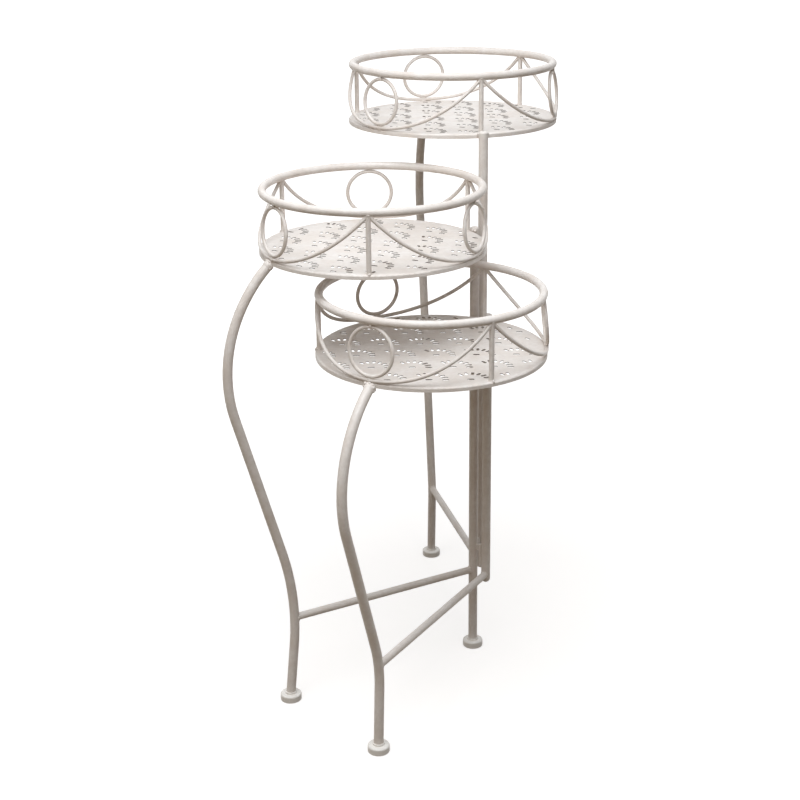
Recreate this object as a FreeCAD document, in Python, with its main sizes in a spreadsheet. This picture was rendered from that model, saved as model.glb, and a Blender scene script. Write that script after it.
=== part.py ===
"""Folding tiered plant stand: three tray baskets on bent legs, hinged at their posts.

Units are millimetres and degrees. The origin is on the floor under the axis of the mid
unit's post, +Z is up, and +Y points away from the viewer of the front. Each unit (mid,
low, tall) is drawn in its own frame, with its post on the Z axis and its leg along +X.
"""
import FreeCAD, Part
import math
import os
import re

import Sketcher
from FreeCAD import Vector

# alias, value, what it measures
SIZES = (
    ("TrayRadius", 138, "tray, outside of the lip"),
    ("TraySheet", 0.8, "tray, sheet thickness"),
    ("TrayLip", 5.7, "tray, depth of the turned-down lip"),
    ("TrayBend", 2, "tray, outside radius of the bend at the lip"),
    ("RimInset", 6, "basket rim, centre line inside the tray's edge"),
    ("RimTubeRadius", 5, "basket rim, tube outside"),
    ("RimWall", 1, "basket rim, tube wall"),
    ("RimHeight", 70.5, "rim centre line above the tray's top face"),
    ("TubeRadius", 6, "posts and legs, tube outside"),
    ("TubeWall", 1, "posts and legs, tube wall"),
    ("BraceRadius", 4.75, "braces, tube outside"),
    ("BraceWall", 1, "braces, tube wall"),
    ("BraceHeight", 115, "braces, centre line above the floor"),
    ("BalusterRadius", 3, "balusters, solid rod"),
    ("BalusterInset", 4.5, "balusters, centre line inside the tray's edge"),
    ("RodRadius", 2.25, "rings and swags, solid rod"),
    ("SwagInset", 1, "swag's lowest point, centre line inside the tray's edge"),
    ("SwagPower", 2.25, "swag's height grows with this power of the way to its end"),
    ("SwagBelly", 4, "swag draws in to the balusters with this power of the way"),
    ("SlotLength", 8, "punched slot, end to end"),
    ("SlotWidth", 3.6, "punched slot, across"),
    ("FanRadius", 19, "punched fan, middles of the slots from the fan's centre"),
    ("FanStart", 125, "punched fan, direction of the first slot"),
    ("FanStep", 21.5, "punched fan, turn from one slot to the next"),
    ("MotifPitch", 47, "punched pattern, fan to fan along a row"),
    ("MotifRowGap", 43, "punched pattern, row to row"),
    ("MotifRowShift", 18.5, "punched pattern, shift of each row against the last"),
    ("PunchMargin", 6, "punched pattern, plain border inside the tray's lip"),
    ("FootRadius", 13.5, "foot pad"),
    ("FootHeight", 9, "foot pad, without its collar"),
    ("FootCollar", 2.5, "foot pad, height of the collar above the pad"),
    ("FootCollarWall", 1.2, "foot pad, wall of the collar round the tube"),
    ("FootFloor", 3, "foot pad, thickness under the tube"),
    ("FootRound", 2.2, "foot pad, rounding of its top edge"),
    ("FootEase", 0.8, "foot pad, rounding of its bottom edge"),
    ("PostRise", 0.5, "top of a post's tube above its tray"),
    ("CapRise", 3.6, "post cap, dome above the tube"),
    ("CapRound", 3, "post cap, rounding of the dome"),
    ("CapSpigot", 8, "post cap, length inside the tube"),
    ("WeldLump", 0.5, "weld that closes a tube's end, how far it stands proud"),
    ("LegTopOut", 1.5, "top end of a leg, centre outside the tray's lip"),
    ("LegTopSink", 0.5, "top end of a leg, its weld below the tray's top face"),
    ("KnuckleWall", 1.29, "hinge knuckle, wall round the pin's bore"),
    ("KnuckleLength", 15, "hinge knuckle"),
    ("WebThickness", 3, "web that joins a knuckle to its post"),
    ("WebHeight", 7, "web on the fixed knuckle"),
    ("HingeStandoff", 4.15, "gap from the mid post to its knuckles"),
    ("PinRadius", 1.5, "hinge pin"),
    ("PinClearance", 0.06, "hinge pin in its bore, on the radius"),
    ("PinHeadLip", 1.1, "hinge pin, head beyond the pin's side"),
    ("PinHeadHeight", 1.5, "hinge pin, height of the head"),
    ("PinPeenLip", 0.6, "hinge pin, peened end beyond the pin's side"),
    ("PinPeenHeight", 1, "hinge pin, height of the peened lower end"),
    ("LowerHingeRise", 9, "lower hinges, underside above the braces' centre line"),
    ("UpperHingeDrop", 77, "upper hinges, underside below the low tray's top face"),
    ("WeldGap", 0.1, "clearance between pieces joined within one unit"),
    ("MovingGap", 0.3, "clearance between pieces that move past each other"),
    ("LowHingeAngle", -42.5, "low unit's hinges, direction seen from the mid post"),
    ("TallHingeAngle", 60, "tall unit's hinges, direction seen from the mid post"),
    ("MidTurn", 209.1, "mid unit, direction from post to leg"),
    ("MidTrayRise", 110, "mid tray's top face above the low tray's"),
    ("MidRingTurn", 4, "mid basket, turn of each ring from the middle of its swag"),
    ("MidBulgeOut", 57.4, "mid leg, furthest point of its bulge outside its top end"),
    ("MidBulgeRadius", 182, "mid leg, radius of its bulge"),
    ("MidKneeRadius", 350, "mid leg, radius of its knee"),
    ("MidKneeDrop", 40, "mid leg, lower end of its knee below the brace"),
    ("MidFootIn", 7.6, "mid leg, foot on the floor inside its top end"),
    ("MidFootSplay", 6, "mid leg, lean of its lower end"),
    ("MidPatternTurn", 120, "mid tray, direction of the punched rows"),
    ("MidPatternX", 67.8, "mid tray, one fan's centre from the tray's centre"),
    ("MidPatternY", 45.9, "mid tray, one fan's centre from the tray's centre"),
    ("LowTurn", 239.25, "low unit, direction from post to leg"),
    ("LowTrayHeight", 477, "low tray's top face above the floor"),
    ("LowRingTurn", 0, "low basket, turn of each ring from the middle of its swag"),
    ("LowPostDrop", 5.25, "low post, lower end of its tube below its brace's centre line"),
    ("LowBulgeOut", 60.4, "low leg, furthest point of its bulge outside its top end"),
    ("LowBulgeRadius", 140, "low leg, radius of its bulge"),
    ("LowKneeRadius", 160, "low leg, radius of its knee"),
    ("LowKneeDrop", 30, "low leg, lower end of its knee below the brace"),
    ("LowFootIn", 6.6, "low leg, foot on the floor inside its top end"),
    ("LowFootSplay", 3, "low leg, lean of its lower end"),
    ("LowPatternTurn", 120.8, "low tray, direction of the punched rows"),
    ("LowPatternX", 46.2, "low tray, one fan's centre from the tray's centre"),
    ("LowPatternY", 55.4, "low tray, one fan's centre from the tray's centre"),
    ("TallTurn", 103.8, "tall unit, direction from post to leg"),
    ("TallTrayRise", 117, "tall tray's top face above the mid tray's"),
    ("TallRingTurn", 2, "tall basket, turn of each ring from the middle of its swag"),
    ("TallPostDrop", 0.75, "tall post, lower end of its tube below its brace's centre line"),
    ("TallBulgeOut", 42.4, "tall leg, furthest point of its bulge outside its top end"),
    ("TallBulgeRadius", 205, "tall leg, radius of its bulge"),
    ("TallKneeRadius", 160, "tall leg, radius of its knee"),
    ("TallKneeDrop", 20, "tall leg, lower end of its knee below the brace"),
    ("TallFootIn", 16.6, "tall leg, foot on the floor inside its top end"),
    ("TallFootSplay", 4, "tall leg, lean of its lower end"),
    ("TallPatternTurn", 233.3, "tall tray, direction of the punched rows"),
    ("TallPatternX", -22.6, "tall tray, one fan's centre from the tray's centre"),
    ("TallPatternY", -48.5, "tall tray, one fan's centre from the tray's centre"),
)
FAN_SLOTS = 7                        # slots on a punched fan's arc
SWAG_SPANS = 12                      # spans of the curve along a swag rod
TIERS = ("Mid", "Low", "Tall")
BALUSTER_ANGLES = (180, 300, 60)     # the first stands beside the post
HALF_SWAG = 60                       # turn from a baluster to the middle of a swag
RING_ANGLES = [(angle + HALF_SWAG) % 360 for angle in BALUSTER_ANGLES]
HINGE_LEVELS = ("Lower", "Upper")

# name, what it is worked out from
LENGTHS = [
    ("RimRadius", "TrayRadius - RimInset"),
    ("BalusterCircle", "TrayRadius - BalusterInset"),
    ("SwagCircle", "TrayRadius - SwagInset"),
    ("SwagLow", "WeldGap + RodRadius"),
    ("SwagRise", "RimHeight - RimTubeRadius / 2 - SwagLow"),
    ("RingShift", "SwagCircle - RimRadius"),
    ("BasketReach", "TubeRadius + WeldGap + TrayRadius"),
    ("LegTopReach", "BasketReach + TrayRadius + LegTopOut"),
    ("LegTopDrop", "TubeRadius + WeldLump + LegTopSink"),
    ("KnuckleRadius", "PinRadius + PinClearance + KnuckleWall"),
    ("FixedReach", "TubeRadius + HingeStandoff + KnuckleRadius"),
    ("SwingReach", "TubeRadius + MovingGap + KnuckleRadius"),
    ("PostSpacing", "FixedReach + SwingReach"),
    ("HingeLength", "2 * KnuckleLength + MovingGap"),
    ("LowerHingeHeight", "BraceHeight + LowerHingeRise"),
    ("UpperHingeHeight", "LowTrayHeight - UpperHingeDrop"),
    ("MidTrayHeight", "LowTrayHeight + MidTrayRise"),
    ("TallTrayHeight", "MidTrayHeight + TallTrayRise"),
]
for unit in TIERS:
    LENGTHS += [
        (f"{unit}BulgeReach", f"LegTopReach + {unit}BulgeOut"),
        (f"{unit}FootReach", f"LegTopReach - {unit}FootIn"),
        (f"{unit}KneeHeight", f"BraceHeight - {unit}KneeDrop"),
        (f"{unit}RingSeat", "2 * SwagLow + SwagRise"
         f" * (abs({unit}RingTurn) / {HALF_SWAG}) ^ SwagPower"),
        (f"{unit}RingDrop", "RimHeight - RimTubeRadius - 2 * RodRadius - WeldGap"
         f" - {unit}RingSeat"),
    ]

doc = FreeCAD.newDocument("TieredPlantStand")
nodes = []


# ------------------------------------------------------------ sheet and expressions

def make_sheet():
    """Put every size in a sheet, one aliased cell each."""
    cells_of_sizes = doc.addObject("Spreadsheet::Sheet", "Sizes")
    for row, (alias, number, note) in enumerate(SIZES, start=1):
        cells_of_sizes.set(f"A{row}", alias)
        cells_of_sizes.set(f"B{row}", str(number))
        cells_of_sizes.setAlias(f"B{row}", alias)
        cells_of_sizes.set(f"C{row}", note)
    doc.recompute()
    return cells_of_sizes


def size(name):
    """A size or a worked-out length, for a shape that is drawn point by point."""
    if hasattr(lengths, name):
        return getattr(lengths, name)
    return float(sheet.get(name))


def bind(thing, **expressions):
    """Bind properties to expressions, in which a capitalised word is a size or a length."""
    for prop, text in expressions.items():
        thing.setExpression(prop, re.sub(r"\b[A-Z][A-Za-z]+\b", full_name, text))
    return thing


def full_name(word):
    """The word with the object that holds it."""
    name = word.group(0)
    return f"Lengths.{name}" if hasattr(lengths, name) else f"Sizes.{name}"


def work_out_lengths():
    """Bind each worked-out length, in a holder of its own, to the sheet."""
    for name, text in LENGTHS:
        lengths.addProperty("App::PropertyFloat", name)
        bind(lengths, **{name: text})
    doc.recompute()


def place(x="0", y="0", z="0", axis="0; 0; 1", angle="0"):
    """A placement, as an expression."""
    return f"placement(vector({x}; {y}; {z}); rotation(vector({axis}); {angle}))"


def unit_frame(tier):
    """Where a unit's own frame lies on the stand."""
    if tier == "Mid":
        return place(angle="MidTurn")
    angle = f"{tier}HingeAngle"
    return place(f"PostSpacing * cos({angle})", f"PostSpacing * sin({angle})",
                 angle=f"{tier}Turn")


def hinge_frame(tier, level):
    """A hinge's frame: X runs from the mid post through the hinge to the unit's post."""
    return place(z=f"{level}HingeHeight", angle=f"{tier}HingeAngle")


def basket(tier, height="0"):
    """The basket's axis in its unit's frame, at a height above the tray's top face."""
    return place("BasketReach", z=f"{tier}TrayHeight + {height}")


def round_basket(tier, angle, reach, height):
    """A place on the basket's wall, with X turned to point outwards."""
    return f"{basket(tier, height)} * {place(angle=str(angle))} * {place(reach)}"


def node(name, thing, frame):
    """Name a finished piece and put it in its place on the stand."""
    thing.Label = name
    bind(thing, Placement=frame)
    nodes.append(thing)
    return thing


# ------------------------------------------------------------ solids

def cylinder(name, radius, height, placement):
    """A solid cylinder along its own Z axis."""
    return bind(doc.addObject("Part::Cylinder", name),
                Radius=radius, Height=height, Placement=placement)


def tube(name, radius, wall, height, placement):
    """A hollow cylinder along its own Z axis."""
    outside = cylinder(name + "Outside", radius, height, placement)
    inside = cylinder(name + "Inside", f"{radius} - {wall}", height, placement)
    return cut(name, outside, inside)


def torus(name, ring_radius, rod_radius, placement):
    """A solid ring round its own Z axis."""
    return bind(doc.addObject("Part::Torus", name),
                Radius1=ring_radius, Radius2=rod_radius, Placement=placement)


def ball(name, radius, placement):
    """A solid ball."""
    return bind(doc.addObject("Part::Sphere", name), Radius=radius, Placement=placement)


def block(name, length, width, height, placement):
    """A solid box from its own corner."""
    return bind(doc.addObject("Part::Box", name),
                Length=length, Width=width, Height=height, Placement=placement)


def cut(name, base, tool):
    """The base without the tool."""
    result = doc.addObject("Part::Cut", name)
    result.Base = base
    result.Tool = tool
    return result


def fuse(name, base, tool):
    """The base and the tool as one solid."""
    result = doc.addObject("Part::Fuse", name)
    result.Base = base
    result.Tool = tool
    return result


def origin_plane(body, role):
    """One of a body's own origin planes."""
    return next(item for item in body.Origin.OriginFeatures if item.Role == role)


def new_sketch(body, name, role):
    """An empty sketch on one of the body's origin planes."""
    sketch = body.newObject("Sketcher::SketchObject", name)
    sketch.AttachmentSupport = [(origin_plane(body, role), "")]
    sketch.MapMode = "FlatFace"
    return sketch


def pin_point(sketch, edge, point, x=None, y=None):
    """Hold a point of a sketch at expressions for its coordinates."""
    for kind, text in (("DistanceX", x), ("DistanceY", y)):
        if text is not None:
            index = sketch.addConstraint(Sketcher.Constraint(kind, -1, 1, edge, point, 1.0))
            bind(sketch, **{f"Constraints[{index}]": text})


def turned_body(name, corners):
    """A body turned round its Z axis from an outline of (radius, height) corners."""
    body = doc.addObject("PartDesign::Body", name)
    sketch = new_sketch(body, name + "Outline", "XZ_Plane")
    count = len(corners)
    start = [Vector(2 + math.cos(math.tau * i / count), math.sin(math.tau * i / count))
             for i in range(count)]
    for i in range(count):
        sketch.addGeometry(Part.LineSegment(start[i], start[(i + 1) % count]), False)
    for i in range(count):
        sketch.addConstraint(Sketcher.Constraint("Coincident", i, 2, (i + 1) % count, 1))
    for i, (radius, height) in enumerate(corners):
        pin_point(sketch, i, 1, radius, height)
    revolution = body.newObject("PartDesign::Revolution", name + "Turned")
    revolution.Profile = sketch
    revolution.ReferenceAxis = (sketch, ["V_Axis"])
    revolution.Angle = 360
    doc.recompute()
    return body


def round_edge(body, radius, height, rounding):
    """Round the circular edge that a body has at a radius and height."""
    base = body.Tip
    found = [f"Edge{i}" for i, edge in enumerate(base.Shape.Edges, start=1)
             if edge.Curve.TypeId == "Part::GeomCircle"
             and abs(edge.Curve.Radius - radius) < 1e-4
             and abs(edge.Curve.Center.z - height) < 1e-4]
    fillet = body.newObject("PartDesign::Fillet", body.Name + "Round")
    fillet.Base = (base, found)
    bind(fillet, Radius=rounding)
    doc.recompute()
    return body


# ------------------------------------------------------------ baskets

def slot_prism(length, width, centre, direction, depth):
    """A punch for one slot with round ends, along a direction in degrees."""
    half = length / 2 - width / 2
    r = width / 2
    corners = [Vector(half, -r), Vector(half, r), Vector(-half, r), Vector(-half, -r)]
    edges = [
        Part.Arc(corners[0], Vector(half + r, 0), corners[1]).toShape(),
        Part.LineSegment(corners[1], corners[2]).toShape(),
        Part.Arc(corners[2], Vector(-half - r, 0), corners[3]).toShape(),
        Part.LineSegment(corners[3], corners[0]).toShape(),
    ]
    punch = Part.Face(Part.Wire(edges)).extrude(Vector(0, 0, depth))
    punch.rotate(Vector(), Vector(0, 0, 1), direction)
    punch.translate(centre)
    return punch


def punched_slots(tier):
    """Every whole slot of the fan pattern that lies on the tray's flat."""
    length = size("SlotLength")
    width = size("SlotWidth")
    limit = size("TrayRadius") - size("PunchMargin")
    turn = size(f"{tier}PatternTurn")
    corner = Vector(size(f"{tier}PatternX"), size(f"{tier}PatternY"))
    depth = 3 * size("TraySheet")
    along = rotated(Vector(size("MotifPitch"), 0), turn)
    across = rotated(Vector(size("MotifRowShift"), -size("MotifRowGap")), turn)
    reach = math.ceil(2 * limit / min(size("MotifPitch"), size("MotifRowGap")))
    slots = []
    for row in range(-reach, reach + 1):
        for column in range(-reach, reach + 1):
            centre = corner + across * row + along * column
            spots = [(centre, turn)]
            for i in range(FAN_SLOTS):
                angle = turn + size("FanStart") - i * size("FanStep")
                spots.append((centre + rotated(Vector(size("FanRadius"), 0), angle), angle))
            for spot, direction in spots:
                if spot.Length + length / 2 <= limit:
                    middle = spot - Vector(0, 0, depth / 2 + size("TraySheet") / 2)
                    slots.append(slot_prism(length, width, middle, direction, depth))
    return Part.Compound(slots)


def rotated(vector, degrees):
    """A vector turned about Z."""
    return FreeCAD.Rotation(Vector(0, 0, 1), degrees).multVec(vector)


def make_tray(tier):
    """The punched tray with its turned-down lip."""
    outside = "TrayRadius"
    inside = "TrayRadius - TraySheet"
    blank = turned_body(f"{tier}TrayBlank", (
        ("0", "0"), (outside, "0"), (outside, "-TrayLip"), (inside, "-TrayLip"),
        (inside, "-TraySheet"), ("0", "-TraySheet")))
    round_edge(blank, size("TrayRadius"), 0, "TrayBend")
    round_edge(blank, size("TrayRadius") - size("TraySheet"), -size("TraySheet"),
               "TrayBend - TraySheet")
    bind(blank, Placement=basket(tier))
    punch = doc.addObject("Part::Feature", f"{tier}TrayPunch")
    punch.Shape = punched_slots(tier)
    bind(punch, Placement=basket(tier))
    tray = cut(f"{tier}Tray", blank, punch)
    node(f"{tier.lower()}_tray", tray, unit_frame(tier))


def make_rim(tier):
    """The ring of tube round the top of the basket."""
    at = basket(tier, "RimHeight")
    outside = torus(f"{tier}RimOutside", "RimRadius", "RimTubeRadius", at)
    inside = torus(f"{tier}RimInside", "RimRadius", "RimTubeRadius - RimWall", at)
    node(f"{tier.lower()}_rim", cut(f"{tier}Rim", outside, inside), unit_frame(tier))


def make_balusters(tier):
    """The three upright rods, coped to the rim."""
    for number, angle in enumerate(BALUSTER_ANGLES, start=1):
        name = f"{tier}Baluster{number}"
        rod = cylinder(name + "Rod", "BalusterRadius", "RimHeight - WeldGap",
                       round_basket(tier, angle, "BalusterCircle", "WeldGap"))
        rim = torus(name + "Cope", "RimRadius", "RimTubeRadius + WeldGap",
                    basket(tier, "RimHeight"))
        node(f"{tier.lower()}_baluster_{number}", cut(name, rod, rim), unit_frame(tier))


def make_rings(tier):
    """The three rings, each leaning from a swag's lowest point up to the rim."""
    height = f"({tier}RingSeat + RodRadius + {tier}RingDrop / 2)"
    for number, angle in enumerate(RING_ANGLES, start=1):
        spot = round_basket(tier, f"({angle} + {tier}RingTurn)",
                            "(RimRadius + SwagCircle) / 2", height)
        lean = place(axis="0; 1; 0", angle=f"90 deg - atan(RingShift / {tier}RingDrop)")
        ring = torus(f"{tier}Ring{number}", f"sqrt({tier}RingDrop^2 + RingShift^2) / 2",
                     "RodRadius", place())
        node(f"{tier.lower()}_ring_{number}", ring, f"{unit_frame(tier)} * {spot} * {lean}")


def swag_curve(first_angle, last_angle):
    """A swag's centre line: from baluster to baluster, lowest halfway."""
    draw_in = size("SwagCircle") - size("BalusterCircle")
    points = []
    for i in range(SWAG_SPANS + 1):
        way = 2 * i / SWAG_SPANS - 1
        angle = first_angle + (last_angle - first_angle) * i / SWAG_SPANS
        reach = size("SwagCircle") - draw_in * abs(way) ** size("SwagBelly")
        height = size("SwagLow") + size("SwagRise") * abs(way) ** size("SwagPower")
        points.append(rotated(Vector(reach, 0, height), angle))
    curve = Part.BSplineCurve()
    curve.interpolate(points)
    return curve


def make_swags(tier):
    """The three hanging rods, each cut back from the rim and the balusters it joins."""
    gap = size("WeldGap")
    height = size("RimHeight")
    rim = Part.makeTorus(size("RimRadius"), size("RimTubeRadius") + gap)
    rim.translate(Vector(0, 0, height))
    for number, middle in enumerate(RING_ANGLES, start=1):
        ends = (middle - HALF_SWAG, middle + HALF_SWAG)
        curve = swag_curve(*ends)
        start = curve.value(curve.FirstParameter)
        along = curve.tangent(curve.FirstParameter)[0]
        section = Part.Wire(Part.makeCircle(size("RodRadius"), start, along))
        rod = Part.Wire(curve.toShape()).makePipeShell([section], True, False)
        for angle in ends:
            foot = rotated(Vector(size("BalusterCircle"), 0), angle)
            rod = rod.cut(Part.makeCylinder(size("BalusterRadius") + gap, height, foot))
        swag = doc.addObject("Part::Feature", f"{tier}Swag{number}")
        swag.Shape = rod.cut(rim).Solids[0]
        node(f"{tier.lower()}_swag_{number}", swag, f"{unit_frame(tier)} * {basket(tier)}")


# ------------------------------------------------------------ legs and posts

def leg_arcs(tier):
    """Centres and end angles of a leg's bulge and knee, in its unit's X-Z plane."""
    bulge_radius = size(f"{tier}BulgeRadius")
    knee_radius = size(f"{tier}KneeRadius")
    splay = math.radians(size(f"{tier}FootSplay"))
    top = Vector(size("LegTopReach"), size(f"{tier}TrayHeight") - size("LegTopDrop"))
    bulge = Vector(size(f"{tier}BulgeReach") - bulge_radius, 0)
    bulge.y = top.y - math.sqrt(bulge_radius ** 2 - (top.x - bulge.x) ** 2)
    ankle = Vector(size(f"{tier}FootReach")
                   - math.tan(splay) * size(f"{tier}KneeHeight"), size(f"{tier}KneeHeight"))
    knee = ankle + Vector(math.cos(splay), math.sin(splay)) * knee_radius
    between = knee - bulge
    slope = (math.atan2(-between.y, between.x)
             - math.acos((bulge_radius + knee_radius) / between.Length))
    lean = math.atan2(top.y - bulge.y, top.x - bulge.x)
    return bulge, knee, slope, splay, lean


def leg_pipe(name, tier, bottom, radius, bore=None):
    """A leg's tube, from a height above the floor to its top end at the tray's lip."""
    bulge, knee, slope, splay, lean = leg_arcs(tier)
    bulge_radius = size(f"{tier}BulgeRadius")
    knee_radius = size(f"{tier}KneeRadius")
    lower_end = Vector(size(f"{tier}FootReach"), 0)
    body = doc.addObject("PartDesign::Body", name)
    path = new_sketch(body, name + "Path", "XZ_Plane")
    lower_arc = Part.ArcOfCircle(Part.Circle(knee, Vector(0, 0, 1), knee_radius),
                                 math.pi - slope, math.pi + splay)
    upper_arc = Part.ArcOfCircle(Part.Circle(bulge, Vector(0, 0, 1), bulge_radius),
                                 -slope, lean)
    path.addGeometry([
        Part.LineSegment(lower_end, lower_arc.EndPoint), lower_arc,
        Part.LineSegment(lower_arc.StartPoint, upper_arc.StartPoint), upper_arc], False)
    for joint in ((0, 2, 1, 2), (1, 1, 2, 1), (2, 2, 3, 1)):
        path.addConstraint(Sketcher.Constraint("Tangent", *joint))
    for edge, alias in ((1, f"{tier}KneeRadius"), (3, f"{tier}BulgeRadius")):
        index = path.addConstraint(Sketcher.Constraint("Radius", edge, size(alias)))
        bind(path, **{f"Constraints[{index}]": alias})
    lean_in = f"{tier}FootReach - tan({tier}FootSplay)"
    pin_point(path, 0, 1, f"{lean_in} * {bottom}", bottom)
    pin_point(path, 0, 2, f"{lean_in} * {tier}KneeHeight", f"{tier}KneeHeight")
    pin_point(path, 3, 3, f"{tier}BulgeReach - {tier}BulgeRadius")
    pin_point(path, 3, 2, "LegTopReach", f"{tier}TrayHeight - LegTopDrop")
    section = new_sketch(body, name + "Section", "XY_Plane")
    bind(section, **{".AttachmentOffset.Base.z": bottom})
    for circle_radius in (radius, bore):
        if circle_radius:
            edge = section.addGeometry(
                Part.Circle(lower_end, Vector(0, 0, 1), size("TubeRadius")), False)
            pin_point(section, edge, 3, f"{lean_in} * {bottom}", "0")
            index = section.addConstraint(Sketcher.Constraint("Radius", edge, 1.0))
            bind(section, **{f"Constraints[{index}]": circle_radius})
    doc.recompute()
    pipe = body.newObject("PartDesign::AdditivePipe", name + "Pipe")
    pipe.Profile = section
    pipe.Spine = (path, ["Edge1", "Edge2", "Edge3", "Edge4"])
    doc.recompute()
    return body


def leg_envelope(name, tier):
    """The space a leg's tube needs where another piece joins it."""
    return leg_pipe(name, tier, "(FootFloor - WeldGap)", "TubeRadius + WeldGap")


def make_leg(tier):
    """The bent leg, closed by a weld at the top and coped to the tray."""
    pipe = leg_pipe(f"{tier}LegTube", tier, "FootFloor", "TubeRadius",
                    "TubeRadius - TubeWall")
    end = ball(f"{tier}LegEnd", "TubeRadius + WeldLump",
               place("LegTopReach", z=f"{tier}TrayHeight - LegTopDrop"))
    tray = cylinder(f"{tier}LegCope", "TrayRadius + WeldGap", "RimHeight",
                    basket(tier, "(-TrayLip - WeldGap)"))
    closed = fuse(f"{tier}LegClosed", pipe, end)
    node(f"{tier.lower()}_leg", cut(f"{tier}Leg", closed, tray), unit_frame(tier))


def foot_pad(name):
    """A solid foot pad with a collar, standing on the floor at its own origin."""
    collar = "TubeRadius + WeldGap + FootCollarWall"
    pad = turned_body(name, (
        ("0", "0"), ("FootRadius", "0"), ("FootRadius", "FootHeight"),
        (collar, "FootHeight"), (collar, "FootHeight + FootCollar"),
        ("0", "FootHeight + FootCollar")))
    round_edge(pad, size("FootRadius"), size("FootHeight"), "FootRound")
    return round_edge(pad, size("FootRadius"), 0, "FootEase")


def make_leg_foot(tier):
    """The foot pad under a leg, bored to the leg's lean."""
    pad = foot_pad(f"{tier}LegPad")
    bind(pad, Placement=place(f"{tier}FootReach - tan({tier}FootSplay) * FootHeight"))
    leg = leg_envelope(f"{tier}LegPadBore", tier)
    node(f"{tier.lower()}_leg_foot", cut(f"{tier}LegFoot", pad, leg), unit_frame(tier))


def make_post_foot():
    """The foot pad under the mid unit's post."""
    bore = cylinder("PostPadBore", "TubeRadius + WeldGap", "FootHeight + FootCollar",
                    place(z="FootFloor - WeldGap"))
    node("mid_post_foot", cut("MidPostFoot", foot_pad("PostPad"), bore), unit_frame("Mid"))


def make_post(tier):
    """The straight post: the mid one stands on a foot, the others end at their brace."""
    top = f"({tier}TrayHeight + PostRise)"
    if tier == "Mid":
        bottom = "FootFloor"
    else:
        bottom = f"(BraceHeight - {tier}PostDrop)"
    post = tube(f"{tier}PostTube", "TubeRadius", "TubeWall", f"{top} - {bottom}",
                place(z=bottom))
    if tier != "Mid":
        end = bind(ball(f"{tier}PostEnd", "TubeRadius", place(z=bottom)), Angle2="0")
        post = fuse(f"{tier}Post", post, end)
    node(f"{tier.lower()}_post", post, unit_frame(tier))


def make_post_cap(tier):
    """The domed cap pressed into the top of a post."""
    spigot = "TubeRadius - TubeWall - WeldGap"
    cap = turned_body(f"{tier}PostCap", (
        ("0", "-CapSpigot"), (spigot, "-CapSpigot"), (spigot, "WeldGap"),
        ("TubeRadius", "WeldGap"), ("TubeRadius", "CapRise"), ("0", "CapRise")))
    round_edge(cap, size("TubeRadius"), size("CapRise"), "CapRound")
    top = place(z=f"{tier}TrayHeight + PostRise")
    node(f"{tier.lower()}_post_cap", cap, f"{unit_frame(tier)} * {top}")


def make_brace(tier):
    """The level brace, coped to the post and to the leg."""
    name = f"{tier}Brace"
    knee_x = (f"({tier}FootReach - tan({tier}FootSplay) * {tier}KneeHeight"
              f" + {tier}KneeRadius * cos({tier}FootSplay))")
    above_knee = (f"(BraceHeight - {tier}KneeHeight"
                  f" - {tier}KneeRadius * sin({tier}FootSplay))")
    leg_x = f"({knee_x} - sqrt({tier}KneeRadius^2 - {above_knee}^2))"
    lean = place(leg_x, z="BraceHeight", axis="0; 1; 0",
                 angle=f"asin({above_knee} / {tier}KneeRadius)")
    rod = tube(name + "Tube", "BraceRadius", "BraceWall", leg_x,
               place(z="BraceHeight", axis="0; 1; 0", angle="90"))
    post = cylinder(name + "PostCope", "TubeRadius + WeldGap", "2 * BraceHeight", place())
    leg = cylinder(name + "LegCope", "TubeRadius + WeldGap", "4 * BraceRadius",
                   f"{lean} * {place(z='-2 * BraceRadius')}")
    brace = cut(name, cut(name + "Trimmed", rod, post), leg)
    node(f"{tier.lower()}_brace", brace, unit_frame(tier))


# ------------------------------------------------------------ hinges

def knuckle(name, bottom, web_start, web_length, web_bottom, web_height, post_x):
    """A hinge knuckle with the web that joins it to a post, in the hinge's frame."""
    barrel = cylinder(name + "Barrel", "KnuckleRadius", "KnuckleLength",
                      place("FixedReach", z=bottom))
    web = block(name + "Web", web_length, "WebThickness", web_height,
                place(web_start, "-WebThickness / 2", web_bottom))
    post = cylinder(name + "PostCope", "TubeRadius + WeldGap", "HingeLength", place(post_x))
    bore = cylinder(name + "Bore", "PinRadius + PinClearance", "HingeLength",
                    place("FixedReach"))
    coped = cut(name + "Coped", fuse(name + "Joined", barrel, web), post)
    return cut(name, coped, bore)


def make_hinge(tier, level):
    """One hinge's two knuckles: the upper on the mid post, the lower on the unit's."""
    name = f"{tier}{level}Hinge"
    label = f"{tier.lower()}_{level.lower()}_hinge"
    frame = hinge_frame(tier, level)
    fixed_bottom = "KnuckleLength + MovingGap"
    fixed = knuckle(name + "Fixed", fixed_bottom, "0", "FixedReach",
                    "HingeLength - WebHeight", "WebHeight", "0")
    swinging = knuckle(name + "Swing", "0", "FixedReach", "SwingReach",
                       "0", "KnuckleLength", "PostSpacing")
    node(label + "_fixed_knuckle", fixed, frame)
    node(label + "_swing_knuckle", swinging, frame)


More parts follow.
